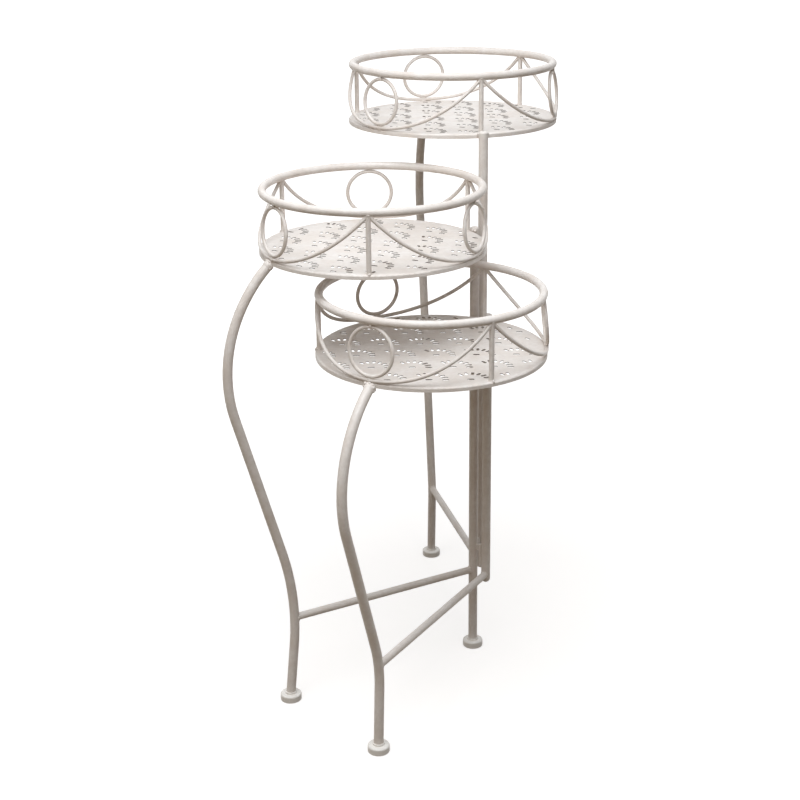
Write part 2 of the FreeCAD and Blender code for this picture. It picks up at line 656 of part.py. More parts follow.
def make_pins(tier):
    """The two alike pins of a unit's hinges."""
    head = "HingeLength + WeldGap"
    pins = []
    for level in HINGE_LEVELS:
        pin = turned_body(f"{tier}{level}Pin", (
            ("0", "-MovingGap - PinPeenHeight"),
            ("PinRadius + PinPeenLip", "-MovingGap - PinPeenHeight"),
            ("PinRadius + PinPeenLip", "-MovingGap"), ("PinRadius", "-MovingGap"),
            ("PinRadius", head), ("PinRadius + PinHeadLip", head),
            ("PinRadius + PinHeadLip", f"{head} + PinHeadHeight"),
            ("0", f"{head} + PinHeadHeight")))
        bind(pin, Placement=place("FixedReach", z=f"{level}HingeHeight"))
        pins.append(pin)
    pair = doc.addObject("Part::Compound", f"{tier}Pins")
    pair.Links = pins
    node(f"{tier.lower()}_hinge_pins", pair, place(angle=f"{tier}HingeAngle"))


# ------------------------------------------------------------ the stand

def check_document():
    """Stop if any object failed or any piece has no good shape."""
    for thing in doc.Objects:
        if {"Invalid", "Error"} & set(thing.State):
            raise RuntimeError(f"{thing.Label} failed: {thing.State}")
    for thing in nodes:
        if thing.Shape.isNull() or not thing.Shape.isValid() or not thing.Shape.Solids:
            raise RuntimeError(f"{thing.Label} has no valid solid")


def export_nodes():
    """Write each piece to its own file."""
    os.makedirs("parts", exist_ok=True)
    for thing in nodes:
        thing.Shape.exportStep(os.path.join("parts", thing.Label + ".step"))
        print(f"{thing.Label}: {len(thing.Shape.Solids)} solid, "
              f"{thing.Shape.Volume:.0f} cubic mm")
    print(f"{len(nodes)} pieces")


sheet = make_sheet()
lengths = doc.addObject("App::FeaturePython", "Lengths")
work_out_lengths()
for unit in TIERS:
    make_tray(unit)
    make_rim(unit)
    make_balusters(unit)
    make_rings(unit)
    make_swags(unit)
    make_leg(unit)
    make_leg_foot(unit)
    make_post(unit)
    make_post_cap(unit)
    make_brace(unit)
make_post_foot()
for unit in TIERS[1:]:
    for hinge_level in HINGE_LEVELS:
        make_hinge(unit, hinge_level)
    make_pins(unit)
doc.recompute()
check_document()
export_nodes()
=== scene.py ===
"""Looks of the folding tiered plant stand: cream paint, welds and stage."""

import math
import random

import bmesh
import bpy
from mathutils import Matrix, Vector


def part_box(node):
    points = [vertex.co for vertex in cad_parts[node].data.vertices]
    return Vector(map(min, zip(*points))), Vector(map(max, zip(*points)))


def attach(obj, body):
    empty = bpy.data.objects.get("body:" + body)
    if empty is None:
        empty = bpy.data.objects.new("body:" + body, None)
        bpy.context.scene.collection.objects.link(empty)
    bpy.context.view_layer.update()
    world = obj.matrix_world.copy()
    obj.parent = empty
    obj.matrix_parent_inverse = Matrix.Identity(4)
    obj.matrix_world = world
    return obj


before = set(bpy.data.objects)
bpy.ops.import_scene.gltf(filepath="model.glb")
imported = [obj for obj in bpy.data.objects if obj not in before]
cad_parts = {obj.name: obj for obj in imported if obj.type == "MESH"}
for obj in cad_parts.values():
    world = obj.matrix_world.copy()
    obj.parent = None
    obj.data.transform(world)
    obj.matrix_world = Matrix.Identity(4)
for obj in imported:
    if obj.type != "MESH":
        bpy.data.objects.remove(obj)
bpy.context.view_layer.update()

bl_info = {
    "name": "Folding plant stand looks",
    "version": (1, 0, 0),
    "blender": (4, 5, 0),
    "location": "3D View > Sidebar > Plant Stand",
    "description": "Paints, welds and lights the folding plant stand",
    "category": "Object",
}

TIERS = ("mid", "low", "tall")
BALUSTER_TURNS = (180, 300, 60)      # degrees round the basket, from the leg's side
FEET = ("mid_post_foot", "mid_leg_foot", "low_leg_foot", "tall_leg_foot")
UP = Vector((0, 0, 1))

# Camera: turns in radians, shifts as shares of the picture's width.
CAMERA_PITCH = math.radians(18.04)
CAMERA_ROLL = -0.009
CAMERA_SHIFT = (-0.0128, -0.0769)
SENSOR_WIDTH = 36                    # millimetres
SIGHT = 60                           # metres that the camera sees

# Lights: places in metres, sky heights from 0 at the horizon to 1 straight above.
COOL = (0.91, 0.955, 1.0)            # light from above
WARM = (1.0, 0.80, 0.56)             # light from low down
LAMP_FOCUS = Vector((-0.07, -0.02, 0.45))
OVERHEAD_PLACE = (-0.2, -0.72, 1.92)
OVERHEAD_WIDTH = 1.3
SIDE_PLACE = (-2.2, -1.4, 1.3)
SIDE_WIDTH = 1.4
SKY_FADE = (0.3, 1.0)                # heights between which the sky brightens
WARMTH_FADE = (0.0, 0.7)             # heights between which it turns from warm to cool

# Floor, in metres.
FLOOR_RADIUS = 20
FLOOR_SIDES = 96
FLOOR_DROP = 0.0001                  # how far it lies below the feet
FLOOR_SHOWN = (0.49, 0.46, 0.435)    # its colour to the camera
GLOW_REACH = (0.3, 1.6)              # distances between which its glow grows
GLOW = (0.66, 1.0)                   # strength of the glow near the stand and far off

# Trays, in metres, and the painted shade in their slots.
TRAY_BEND = 0.004                    # from the lip's outside in to the flat sheet
SLOT_SHADE_FADE = 0.0005                   # over which the painted slot shade ends at the bend
SLOT_SHADE_TILT = (0.3, 0.7)               # painted slot shade: how level a cut edge is, where the shade is full, and how level a face is, where it ends

# Welds, in metres; sizes of lumps are in beads.
BEAD_SIDES = 8
SEEDS = {"leg": 11, "brace": 21, "baluster": 31, "ring": 41, "post": 51, "hinge": 61}
SWING_SEED = 7                       # added for the swinging side of a hinge
LEG_ARC = (-35, 215)                 # degrees of the leg's end that its bead covers
LEG_DROP = 0.007                     # the leg's axis below the tray's top
LEG_LUMPS = (                        # across, down, outward, size
    (-0.0060, 0.0046, 0.0010, 1.9), (0.0059, 0.0052, 0.0012, 2.1),
    (-0.0052, 0.0018, 0.0007, 1.6), (0.0048, 0.0020, 0.0007, 1.5),
    (0.0010, 0.0012, 0.0012, 1.5), (-0.0030, 0.0014, 0.0010, 1.4),
    (-0.0056, 0.0080, 0.0018, 1.4), (0.0057, 0.0086, 0.0018, 1.5))
POST_LUMPS = ((-0.0058, 0.0022, 1.5), (0.0056, 0.003, 1.3))    # across, outward, size
POST_BEAD_HEIGHTS = (0, 0.0015, 0.003, 0.0048)
RING_NUB_OUT = 0.0026                # the top nub, from the rim's centre line
WEB_FOOT = 0.0057                    # a hinge's web meets its post, from the post's axis
WEB_SIDES = (-0.0019, 0.0019)
WEB_DEPTH = 0.0068                   # of the bead on a fixed web
WEB_END = 0.0006                     # the beads end this far inside a knuckle's faces
WEB_STEPS = 8


# ------------------------------------------------------------ settings

class StandPaint(bpy.types.PropertyGroup):
    """Colours and texture of the painted metal, with the painted shade in the trays' slots.

    The two settings for the feet have no effect, because foot_plastic never runs.
    """
    coat: bpy.props.FloatVectorProperty(
        name="Coat", description="Main colour of the cream paint",
        default=(0.80, 0.745, 0.70), subtype="COLOR", min=0, max=1)
    coat_warm: bpy.props.FloatVectorProperty(
        name="Warm coat", description="Colour of the thinner, warmer patches of paint",
        default=(0.74, 0.665, 0.605), subtype="COLOR", min=0, max=1)
    coat_roughness: bpy.props.FloatProperty(
        name="Roughness", description="Roughness of the paint", default=0.42, min=0, max=1)
    patch_size: bpy.props.FloatProperty(
        name="Patch size", description="Size of the patches of colour",
        default=0.03, unit="LENGTH")
    grain_size: bpy.props.FloatProperty(
        name="Grain size", description="Size of the ripples left by the brush",
        default=0.0035, unit="LENGTH")
    grain_depth: bpy.props.FloatProperty(
        name="Grain depth", description="Depth of the ripples left by the brush",
        default=0.00022, unit="LENGTH")
    # Painted shade: a dark colour for the walls of the trays' punched slots, standing in for
    # the shade in them, not a colour of the metal.
    slot: bpy.props.FloatVectorProperty(
        name="Slot edges", description="Colour of the cut edges of the punched slots",
        default=(0.13, 0.105, 0.085), subtype="COLOR", min=0, max=1)
    foot: bpy.props.FloatVectorProperty(
        name="Foot", description="Colour of the plastic feet",
        default=(0.50, 0.37, 0.285), subtype="COLOR", min=0, max=1)
    foot_roughness: bpy.props.FloatProperty(
        name="Foot roughness", description="Roughness of the plastic feet",
        default=0.25, min=0, max=1)


class StandSizes(bpy.types.PropertyGroup):
    """Sizes of the metal that the welds follow."""
    tray_radius: bpy.props.FloatProperty(
        name="Tray radius", description="Outside of the tray's lip",
        default=0.138, unit="LENGTH")
    rim_radius: bpy.props.FloatProperty(
        name="Rim radius", description="Centre line of the rim",
        default=0.132, unit="LENGTH")
    rim_tube: bpy.props.FloatProperty(
        name="Rim tube", description="Radius of the rim's tube",
        default=0.005, unit="LENGTH")
    tube: bpy.props.FloatProperty(
        name="Tube", description="Radius of the posts and legs",
        default=0.006, unit="LENGTH")
    brace: bpy.props.FloatProperty(
        name="Brace", description="Radius of the braces", default=0.00475, unit="LENGTH")
    baluster: bpy.props.FloatProperty(
        name="Baluster", description="Radius of the balusters",
        default=0.003, unit="LENGTH")
    baluster_circle: bpy.props.FloatProperty(
        name="Baluster circle", description="Distance of the balusters from the middle",
        default=0.1335, unit="LENGTH")
    rod: bpy.props.FloatProperty(
        name="Rod", description="Radius of the rings' and swags' rod",
        default=0.00225, unit="LENGTH")
    swag_circle: bpy.props.FloatProperty(
        name="Swag circle", description="Distance of a swag's lowest point from the middle",
        default=0.137, unit="LENGTH")
    bead: bpy.props.FloatProperty(
        name="Weld bead", description="Radius of the largest weld bead",
        default=0.0015, unit="LENGTH")


class StandStage(bpy.types.PropertyGroup):
    """Camera, floor and lights."""
    camera_place: bpy.props.FloatVectorProperty(
        name="Camera", description="Where the camera stands",
        default=(-0.0823, -1.8031, 1.0315), subtype="TRANSLATION", unit="LENGTH")
    lens: bpy.props.FloatProperty(
        name="Lens", description="Focal length in millimetres", default=66.33, min=1)
    overhead: bpy.props.FloatProperty(
        name="Overhead light", description="Power of the large lamp above the stand",
        default=24.0, unit="POWER")
    side: bpy.props.FloatProperty(
        name="Side light", description="Power of the soft lamp on the left",
        default=4.0, unit="POWER")
    sky: bpy.props.FloatProperty(
        name="Sky", description="Strength of the light from straight above",
        default=0.95, min=0)
    horizon: bpy.props.FloatProperty(
        name="Horizon", description="Strength of the light from the side and below",
        default=0.12, min=0)
    floor: bpy.props.FloatVectorProperty(
        name="Floor", description="Colour that the floor throws back on the stand",
        default=(0.13, 0.082, 0.032), subtype="COLOR", min=0, max=1)


# ------------------------------------------------------------ node helpers

def new_material(name):
    """A material with only a Principled shader and an output, and its node tree."""
    material = bpy.data.materials.new(name)
    material.use_nodes = True
    tree = material.node_tree
    tree.nodes.clear()
    output = tree.nodes.new("ShaderNodeOutputMaterial")
    shader = tree.nodes.new("ShaderNodeBsdfPrincipled")
    tree.links.new(shader.outputs["BSDF"], output.inputs["Surface"])
    return material, tree, shader


def noise(tree, place, size, detail):
    """Noise of a given size in metres."""
    mapping = tree.nodes.new("ShaderNodeMapping")
    mapping.inputs["Scale"].default_value = [1 / size] * 3
    tree.links.new(place, mapping.inputs["Vector"])
    texture = tree.nodes.new("ShaderNodeTexNoise")
    texture.inputs["Scale"].default_value = 1.0
    texture.inputs["Detail"].default_value = detail
    tree.links.new(mapping.outputs["Vector"], texture.inputs["Vector"])
    return texture.outputs["Fac"]


def ramp(tree, value, low, high, to_min=0.0, to_max=1.0):
    """Stretch a value from one range to another."""
    node = tree.nodes.new("ShaderNodeMapRange")
    for socket, number in (("From Min", low), ("From Max", high),
                           ("To Min", to_min), ("To Max", to_max)):
        node.inputs[socket].default_value = number
    tree.links.new(value, node.inputs["Value"])
    return node.outputs["Result"]


def mix_colours(tree, share, first, second):
    """Mix two colours, each fixed or from a node."""
    node = tree.nodes.new("ShaderNodeMix")
    node.data_type = "RGBA"
    tree.links.new(share, node.inputs["Factor"])
    for socket, colour in (("A", first), ("B", second)):
        target = next(s for s in node.inputs if s.name == socket and s.type == "RGBA")
        if isinstance(colour, bpy.types.NodeSocket):
            tree.links.new(colour, target)
        else:
            target.default_value = (*colour, 1)
    return next(s for s in node.outputs if s.type == "RGBA")


def vector_maths(tree, operation, first, second=None):
    """A vector worked out from one or two others, the second fixed."""
    node = tree.nodes.new("ShaderNodeVectorMath")
    node.operation = operation
    tree.links.new(first, node.inputs[0])
    if second is not None:
        node.inputs[1].default_value = second
    return node.outputs["Vector"]


def add_bump(tree, shader, height, depth):
    """Raise the surface by a height map, over whatever bump is there already."""
    bump = tree.nodes.new("ShaderNodeBump")
    bump.inputs["Distance"].default_value = depth
    tree.links.new(height, bump.inputs["Height"])
    if shader.inputs["Normal"].links:
        tree.links.new(shader.inputs["Normal"].links[0].from_socket, bump.inputs["Normal"])
    tree.links.new(bump.outputs["Normal"], shader.inputs["Normal"])


def object_place(tree):
    """Coordinates that stay with the piece when it moves."""
    return tree.nodes.new("ShaderNodeTexCoord").outputs["Object"]


# ------------------------------------------------------------ finishes

def paint_coat(tree, shader, place, paint):
    """The colour, gloss and ripples of the cream paint."""
    patches = ramp(tree, noise(tree, place, paint.patch_size, 4), 0.42, 0.66)
    fine = ramp(tree, noise(tree, place, paint.grain_size * 1.6, 3), 0.35, 0.75, 0, 0.55)
    coat = mix_colours(tree, patches, paint.coat, paint.coat_warm)
    shaded = [c * 0.9 for c in paint.coat_warm]
    coat = mix_colours(tree, fine, coat, shaded)
    gloss = noise(tree, place, paint.grain_size * 4, 2)
    rough = ramp(tree, gloss, 0.3, 0.7, paint.coat_roughness - 0.08,
                 paint.coat_roughness + 0.1)
    tree.links.new(rough, shader.inputs["Roughness"])
    add_bump(tree, shader, noise(tree, place, paint.grain_size, 2), paint.grain_depth)
    add_bump(tree, shader, noise(tree, place, paint.grain_size * 5, 1),
             paint.grain_depth * 3)
    return coat


def cream_paint(paint):
    """Satin cream paint, brushed over welded steel."""
    material, tree, shader = new_material("cream_paint")
    coat = paint_coat(tree, shader, object_place(tree), paint)
    tree.links.new(coat, shader.inputs["Base Color"])
    return material


def tray_paint_with_slot_shade(paint, unit, flat_radius):
    """The cream paint of a tray, with painted shade: the walls of its punched slots are
    coloured dark, where shade falls in them.
    """
    material, tree, shader = new_material(f"{unit.tier}_tray_paint_with_slot_shade")
    place = object_place(tree)
    coat = paint_coat(tree, shader, place, paint)
    away = vector_maths(tree, "SUBTRACT", place, unit.basket)
    away = vector_maths(tree, "MULTIPLY", away, (1, 1, 0))
    length = tree.nodes.new("ShaderNodeVectorMath")
    length.operation = "LENGTH"
    tree.links.new(away, length.inputs[0])
    # Painted shade: upright faces inside the flat sheet, which are the slots' walls, are
    # coloured dark.
    on_flat = ramp(tree, length.outputs["Value"], flat_radius, flat_radius + SLOT_SHADE_FADE, 1, 0)
    normal = tree.nodes.new("ShaderNodeTexCoord").outputs["Normal"]
    upright = tree.nodes.new("ShaderNodeSeparateXYZ")
    tree.links.new(vector_maths(tree, "ABSOLUTE", normal), upright.inputs[0])
    slot_wall_shade = ramp(tree, upright.outputs["Z"], *SLOT_SHADE_TILT, 1, 0)
    both = tree.nodes.new("ShaderNodeMath")
    both.operation = "MULTIPLY"
    tree.links.new(on_flat, both.inputs[0])
    tree.links.new(slot_wall_shade, both.inputs[1])
    tree.links.new(mix_colours(tree, both.outputs[0], coat, paint.slot),
                   shader.inputs["Base Color"])
    return material


def foot_plastic(paint):
    """Glossy cream plastic for the feet. It never runs: STAND_OT_feet says why."""
    material, tree, shader = new_material("foot_plastic")
    place = object_place(tree)
    patches = ramp(tree, noise(tree, place, paint.patch_size / 3, 3), 0.4, 0.7)
    scuffed = [c * 0.86 for c in paint.foot]
    tree.links.new(mix_colours(tree, patches, paint.foot, scuffed),
                   shader.inputs["Base Color"])
    rough = ramp(tree, noise(tree, place, 0.004, 2), 0.3, 0.7, paint.foot_roughness,
                 paint.foot_roughness + 0.2)
    tree.links.new(rough, shader.inputs["Roughness"])
    shader.inputs["Specular IOR Level"].default_value = 0.25
    add_bump(tree, shader, noise(tree, place, 0.006, 2), 0.0002)
    return material


def material_of(name, make):
    """The material of that name, made only if Blender holds none of that name yet."""
    found = bpy.data.materials.get(name)
    return found or make(bpy.context.scene.stand_paint)


def use_material(obj, material):
    """Give every slot of a piece, or a new one, the same material."""
    if not obj.material_slots:
        obj.data.materials.append(material)
    for slot in obj.material_slots:
        slot.material = material


# ------------------------------------------------------------ where things are

def middle(node):
    """The middle of a CAD node's box."""
    low, high = (Vector(corner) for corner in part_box(node))
    return (low + high) / 2


class Unit:
    """One unit's axes and heights, read from its CAD nodes."""

    def __init__(self, tier):
        self.tier = tier
        self.body = f"{tier}_unit"
        post = middle(f"{tier}_post")
        rim = middle(f"{tier}_rim")
        self.post = Vector((post.x, post.y, 0))
        self.basket = Vector((rim.x, rim.y, 0))
        self.out = (self.basket - self.post).normalized()
        self.side = Vector((-self.out.y, self.out.x, 0))
        self.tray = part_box(f"{tier}_tray")[1][2]
        self.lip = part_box(f"{tier}_tray")[0][2]
        self.rim = rim.z
        self.brace = middle(f"{tier}_brace").z

    def reach(self, node):
        """How far a node reaches from the post's axis in the leg's direction."""
        return max((v.co - self.post).dot(self.out)
                   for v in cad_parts[node].data.vertices)

    def at_post(self, along, across, height):
        """A point from the post's axis: along the leg's direction, across it, and up."""
        return self.post + self.out * along + self.side * across + Vector((0, 0, height))

    def at_basket(self, turn, reach, height, across=0.0):
        """A point from the basket's axis, in a direction turned from the leg's side."""
        c, s = math.cos(math.radians(turn)), math.sin(math.radians(turn))
        ray = self.out * c + self.side * s
        sideways = self.side * c - self.out * s
        return self.basket + ray * reach + sideways * across + Vector((0, 0, height))


# ------------------------------------------------------------ weld beads

class BeadMesh:
    """Gathers weld beads and turns them into one object."""

    def __init__(self, seed):
        self.bm = bmesh.new()
        self.draw = random.Random(seed)

    def ring_at(self, centre, along, radius):
        """A rough circle of vertices across the bead's direction."""
        helper = UP if abs(along.z) < 0.9 else Vector((1, 0, 0))
        u = along.cross(helper).normalized()
        v = along.cross(u).normalized()
        verts = []
        for i in range(BEAD_SIDES):
            angle = math.tau * i / BEAD_SIDES
            r = radius * self.draw.uniform(0.88, 1.12)
            verts.append(self.bm.verts.new(
                centre + u * (math.cos(angle) * r) + v * (math.sin(angle) * r)))
        return verts

    def bead(self, points, radius, closed=False):
        """A lumpy bead of weld along a line of points."""
        line = resample(points, radius * 0.7, closed)
        count = len(line)
        lump = self.draw.uniform(0, math.tau)
        rings = []
        for i, point in enumerate(line):
            if closed:
                along = line[(i + 1) % count] - line[i - 1]
            else:
                along = line[min(i + 1, count - 1)] - line[max(i - 1, 0)]
            lump += self.draw.uniform(0.9, 1.6)
            swell = 0.86 + 0.22 * math.sin(lump) + self.draw.uniform(-0.06, 0.06)
            if not closed:
                swell *= min(1.0, 0.55 + 0.3 * min(i, count - 1 - i))
            rings.append(self.ring_at(point, along.normalized(), radius * swell))
        pairs = list(zip(rings, rings[1:]))
        if closed:
            pairs.append((rings[-1], rings[0]))
        for near, far in pairs:
            offset = 0
            if near is rings[-1]:
                offset = min(range(len(far)), key=lambda k: (far[k].co - near[0].co).length)
            for k in range(len(near)):
                a, b = near[k], near[(k + 1) % len(near)]
                c = far[(k + 1 + offset) % len(far)]
                d = far[(k + offset) % len(far)]
                self.bm.faces.new((a, b, c, d))
        if not closed:
            self.close(rings[0])
            self.close(rings[-1])

    def close(self, ring):
        """Close an end of a bead with a low point."""
        centre = sum((v.co for v in ring), Vector()) / len(ring)
        tip = self.bm.verts.new(centre)
        for k in range(len(ring)):
            self.bm.faces.new((ring[k], ring[(k + 1) % len(ring)], tip))

    def lump(self, centre, sizes, axis=UP):
        """A blob of weld, with one size across an axis and another along it."""
        made = bmesh.ops.create_icosphere(self.bm, subdivisions=2, radius=1.0)
        turn = UP.rotation_difference(axis).to_matrix()
        waves = [(Vector([self.draw.uniform(-1, 1) for _ in range(3)]),
                  self.draw.uniform(1.2, 2.6), self.draw.uniform(0, math.tau))
                 for _ in range(4)]
        for vert in made["verts"]:
            p = vert.co.copy()
            bulge = 1 + sum(0.09 * math.sin(d.dot(p) * f * 2 + a) for d, f, a in waves)
            p = Vector((p.x * sizes[0], p.y * sizes[0], p.z * sizes[1])) * bulge
            vert.co = centre + turn @ p

    def finish(self, name, body):
        """Make the object, smooth it, paint it and fix it to its body."""
        bmesh.ops.recalc_face_normals(self.bm, faces=self.bm.faces)
        mesh = bpy.data.meshes.new(name)
        self.bm.to_mesh(mesh)
        self.bm.free()
        mesh.polygons.foreach_set("use_smooth", [True] * len(mesh.polygons))
        obj = bpy.data.objects.new(name, mesh)
        bpy.context.scene.collection.objects.link(obj)
        smooth = obj.modifiers.new("Smooth", "SUBSURF")
        smooth.levels = smooth.render_levels = 1
        use_material(obj, material_of("cream_paint", cream_paint))
        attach(obj, body)


def resample(points, step, closed):
    """Points evenly spaced along a line of points."""
    line = [Vector(p) for p in points] + ([Vector(points[0])] if closed else [])
    lengths = [0.0]
    for a, b in zip(line, line[1:]):
        lengths.append(lengths[-1] + (b - a).length)
    count = max(4, round(lengths[-1] / step))
    result = []
    k = 0
    for i in range(count if closed else count + 1):
        target = lengths[-1] * i / count
        while k < len(line) - 2 and lengths[k + 1] < target:
            k += 1
        span = (lengths[k + 1] - lengths[k]) or 1
        result.append(line[k].lerp(line[k + 1], (target - lengths[k]) / span))
    return result


def turns(first, last, count):
    """Angles in radians from first to last degrees."""
    return [math.radians(first + (last - first) * i / count) for i in range(count + 1)]


# ------------------------------------------------------------ operators

class STAND_OT_paint(bpy.types.Operator):
    """Paint every metal node of the frame"""
    bl_idname = "stand.paint"
    bl_label = "Paint the metal"

    def execute(self, context):
        """Give the painted finish to all nodes but the feet."""
        material = material_of("cream_paint", cream_paint)
        for name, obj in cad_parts.items():
            if name not in FEET:
                use_material(obj, material)
        flat_radius = context.scene.stand_sizes.tray_radius - TRAY_BEND
        # Each tray gets its own paint, with painted shade on the walls of its slots.
        for tier in TIERS:
            material = tray_paint_with_slot_shade(context.scene.stand_paint, Unit(tier), flat_radius)
            use_material(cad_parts[f"{tier}_tray"], material)
        return {"FINISHED"}


class STAND_OT_feet(bpy.types.Operator):
    """Finish the plastic feet"""
    bl_idname = "stand.feet"
    bl_label = "Finish the feet"

    def execute(self, context):
        """Give the feet the material named foot_plastic.

        The frame holds a plain material of that name. So the feet keep that one, and the
        function foot_plastic never runs.
        """
        material = material_of("foot_plastic", foot_plastic)
        for name in FEET:
            use_material(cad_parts[name], material)
        return {"FINISHED"}


class STAND_OT_leg_welds(bpy.types.Operator):
    """Weld the legs to the lips of their trays"""
    bl_idname = "stand.leg_welds"
    bl_label = "Weld the legs"

    def execute(self, context):
        """Lay a lumpy bead over the top end of each leg."""
        sizes = context.scene.stand_sizes
        for seed, tier in enumerate(TIERS, start=SEEDS["leg"]):
            unit = Unit(tier)
            beads = BeadMesh(seed)
            arc = []
            for angle in turns(*LEG_ARC, 20):
                across = math.cos(angle) * (sizes.tube + 0.0006)
                up = math.sin(angle) * (sizes.tube + 0.0004)
                height = min(unit.tray - LEG_DROP + up, unit.tray - 0.0008)
                reach = math.sqrt(sizes.tray_radius ** 2 - across ** 2) + 0.0004
                arc.append(unit.at_basket(0, reach, height, across))
            beads.bead(arc, sizes.bead * 1.15)
            for across, drop, out, size in LEG_LUMPS:
                spot = unit.at_basket(0, sizes.tray_radius + out,
                                      unit.tray - drop, across)
                beads.lump(spot, (sizes.bead * size * 0.8, sizes.bead * size))
            beads.finish(f"{tier}_leg_weld", unit.body)
        return {"FINISHED"}


class STAND_OT_brace_welds(bpy.types.Operator):
    """Weld the braces to the posts and the legs"""
    bl_idname = "stand.brace_welds"
    bl_label = "Weld the braces"

    def execute(self, context):
        """Lay a bead round both ends of each brace."""
        sizes = context.scene.stand_sizes
        for seed, tier in enumerate(TIERS, start=SEEDS["brace"]):
            unit = Unit(tier)
            beads = BeadMesh(seed)
            cope = math.sqrt(sizes.tube ** 2 - sizes.brace ** 2)
            leg = unit.reach(f"{tier}_brace") + cope
            for centre, facing in ((0.0, 1), (leg, -1)):
                saddle = []
                for angle in turns(0, 360, 24)[:-1]:
                    across = math.cos(angle) * sizes.brace
                    up = math.sin(angle) * sizes.brace
                    along = centre + facing * math.sqrt(sizes.tube ** 2 - across ** 2)
                    saddle.append(unit.at_post(along, across, unit.brace + up))
                beads.bead(saddle, sizes.bead * 0.75, closed=True)
            beads.finish(f"{tier}_brace_welds", unit.body)
        return {"FINISHED"}


class STAND_OT_baluster_welds(bpy.types.Operator):
    """Weld the balusters to the trays and the rims"""
    bl_idname = "stand.baluster_welds"
    bl_label = "Weld the balusters"

    def execute(self, context):
        """Lay a bead at the foot and at the top of each baluster."""
        sizes = context.scene.stand_sizes
        for seed, tier in enumerate(TIERS, start=SEEDS["baluster"]):
            unit = Unit(tier)
            beads = BeadMesh(seed)
            for turn in BALUSTER_TURNS:
                foot, top = [], []
                for angle in turns(0, 360, 20)[:-1]:
                    out = math.cos(angle) * sizes.baluster
                    across = math.sin(angle) * sizes.baluster
                    reach = sizes.baluster_circle + out
                    foot.append(unit.at_basket(turn, reach, unit.tray + 0.0004, across))
                    off = math.hypot(reach, across) - sizes.rim_radius
                    drop = math.sqrt(max(sizes.rim_tube ** 2 - off ** 2, 0))
                    top.append(unit.at_basket(turn, reach, unit.rim - drop, across))
                beads.bead(foot, sizes.bead * 0.6, closed=True)
                beads.bead(top, sizes.bead * 0.55, closed=True)
                spot = unit.at_basket(turn, sizes.baluster_circle + 0.0034,
                                      unit.tray - 0.0002, 0.0006)
                beads.lump(spot, (sizes.bead * 1.2, sizes.bead * 1.5))
                for across in (-0.0036, 0.0036):
                    spot = unit.at_basket(turn, sizes.baluster_circle + 0.0006,
                                          unit.rim - sizes.rim_tube + 0.0002, across)
                    beads.lump(spot, (sizes.bead * 1.1, sizes.bead * 1.5))
            beads.finish(f"{tier}_baluster_welds", unit.body)
        return {"FINISHED"}


class STAND_OT_ring_welds(bpy.types.Operator):
    """Weld the rings to the rims and the swags"""
    bl_idname = "stand.ring_welds"
    bl_label = "Weld the rings"

    def execute(self, context):
        """Put a nub of weld at the top of each ring and four at its foot."""
        sizes = context.scene.stand_sizes
        for seed, tier in enumerate(TIERS, start=SEEDS["ring"]):
            unit = Unit(tier)
            beads = BeadMesh(seed)
            for number in (1, 2, 3):
                ray = middle(f"{tier}_ring_{number}") - unit.basket
                ray.z = 0
                ray.normalize()
                across = Vector((-ray.y, ray.x, 0))
                at_rim = unit.basket + ray * (sizes.rim_radius + RING_NUB_OUT)
                at_swag = unit.basket + ray * sizes.swag_circle
                beads.lump(at_rim + UP * (unit.rim - sizes.rim_tube - 0.0006),
                           (sizes.bead, sizes.bead * 2.1))
                beads.lump(at_swag + ray * 0.0012 + UP * (unit.tray + sizes.rod),
                           (sizes.bead * 1.15, sizes.bead * 2.3))
                beads.lump(at_swag + UP * (unit.tray + 2 * sizes.rod),
                           (sizes.bead * 1.2, sizes.bead * 3.2), across)
                for reach, rise in ((0, 0.0002), (0.0012, 0.0006)):
                    beads.lump(at_swag - ray * reach + UP * (unit.tray + rise),
                               (sizes.bead, sizes.bead * 3.4), across)
            beads.finish(f"{tier}_ring_welds", unit.body)
        return {"FINISHED"}


class STAND_OT_post_welds(bpy.types.Operator):
    """Weld the posts to the lips of their trays"""
    bl_idname = "stand.post_welds"
    bl_label = "Weld the posts"

    def execute(self, context):
        """Lay a bead down each side of the post at the lip, and a crumbly one on top."""
        sizes = context.scene.stand_sizes
        for seed, tier in enumerate(TIERS, start=SEEDS["post"]):
            unit = Unit(tier)
            beads = BeadMesh(seed)
            for sideways in (-1, 1):
                line = [unit.at_post(0.0048, sideways * 0.0036, unit.lip + 0.0004 + height)
                        for height in POST_BEAD_HEIGHTS]
                beads.bead(line, sizes.bead * 0.9)
            over = [unit.at_post(0.0052, across, unit.tray + 0.0004)
                    for across in (-0.0052, -0.002, 0.001, 0.0048)]
            beads.bead(over, sizes.bead * 1.1)
            for across, along, size in POST_LUMPS:
                spot = unit.at_post(along, across, unit.tray - 0.0002)
                beads.lump(spot, (sizes.bead * size, sizes.bead * size * 1.1))
            beads.finish(f"{tier}_post_weld", unit.body)
        return {"FINISHED"}


